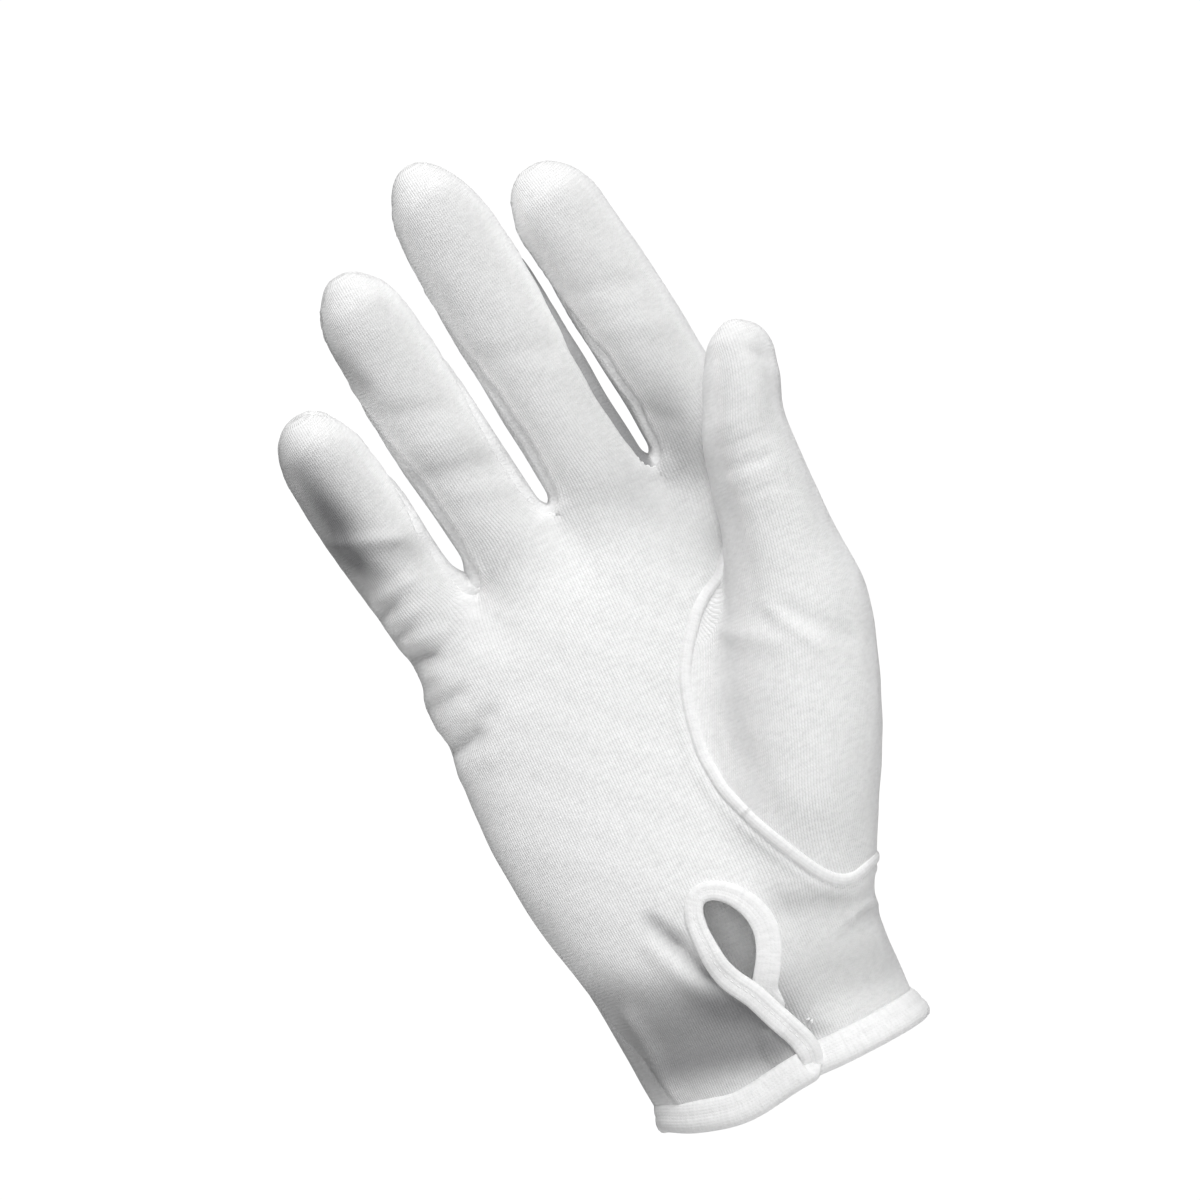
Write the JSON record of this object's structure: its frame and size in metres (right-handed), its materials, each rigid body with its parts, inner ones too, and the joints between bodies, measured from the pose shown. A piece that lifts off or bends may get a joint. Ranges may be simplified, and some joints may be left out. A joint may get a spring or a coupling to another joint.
{
  "type": "glove",
  "caption": "White cotton parade glove for the right hand with set-in thumb, finger gussets, turned hem and a keyhole slit on the palm side of the wrist.",
  "frame": {"origin": "middle of the wrist opening, level with the hem's lower edge, where the hand goes in", "axes": "+Z from the wrist to the fingertips, -Y out of the palm, +X towards the thumb"},
  "size_m": [0.1214, 0.0555, 0.241],
  "materials": {
    "glove_cotton": "white interlock cotton knit, matt",
    "seam_cotton": "the same cotton turned over and stitched",
    "snap_metal": "nickel-plated snap"
  },
  "bodies": {
    "root": {"palm_panel": "glove_cotton", "back_panel": "glove_cotton", "fourchette_little_ring": "glove_cotton", "fourchette_ring_middle": "glove_cotton", "fourchette_middle_index": "glove_cotton", "thumb_piece": "glove_cotton", "thumb_welt": "seam_cotton", "wrist_hem": "seam_cotton", "slit_binding": "seam_cotton", "wrist_snap": "snap_metal"}
  },
  "joints": []
}
